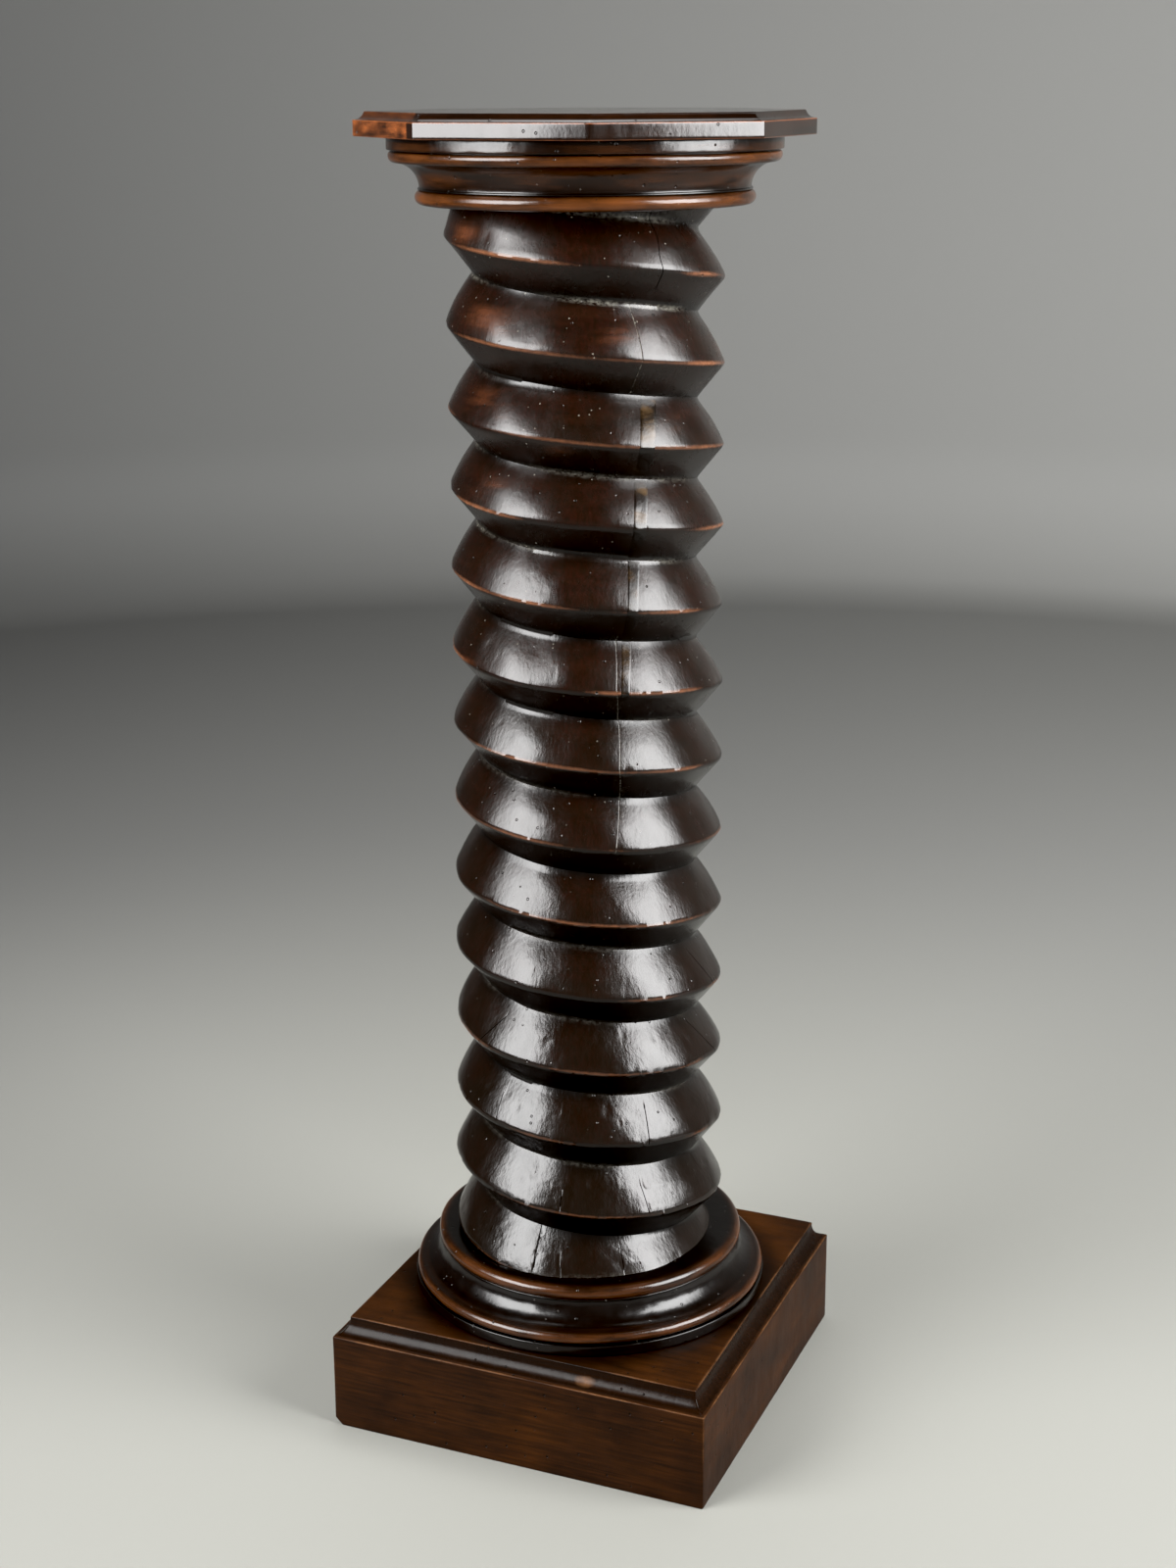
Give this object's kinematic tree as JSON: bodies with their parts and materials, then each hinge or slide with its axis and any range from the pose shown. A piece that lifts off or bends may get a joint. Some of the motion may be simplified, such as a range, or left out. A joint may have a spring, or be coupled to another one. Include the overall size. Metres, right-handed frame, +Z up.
{
  "type": "wine press screw pedestal",
  "caption": "Free-standing wooden pedestal: a length of left-hand press screw between turned mouldings, on a square plinth and under an octagonal top that carries a display piece.",
  "frame": {"origin": "centre of the plinth's underside, on the screw's axis, at floor level", "axes": "+Z up along the screw's axis; the plinth's front faces -Y and its sides face +X and -X"},
  "size_m": [0.36, 0.36, 1.1632],
  "materials": {
    "plinth_wood": "dark stained and wax polished, satin, worn pale on its arrises",
    "moulding_wood": "nearly black stain under a gloss polish, rubbed orange-brown on its rounds",
    "screw_wood": "old polished red-brown wood, nearly black in its roots, with worn tan crests",
    "repair_wood": "paler let-in wood, less deeply stained than the screw",
    "top_wood": "dark stained and polished, orange-brown where rubbed"
  },
  "bodies": {
    "root": {"plinth": "plinth_wood", "base_moulding": "moulding_wood", "press_screw": "screw_wood", "repair_strip": "repair_wood", "capital_moulding": "moulding_wood", "top_slab": "top_wood"}
  },
  "joints": []
}
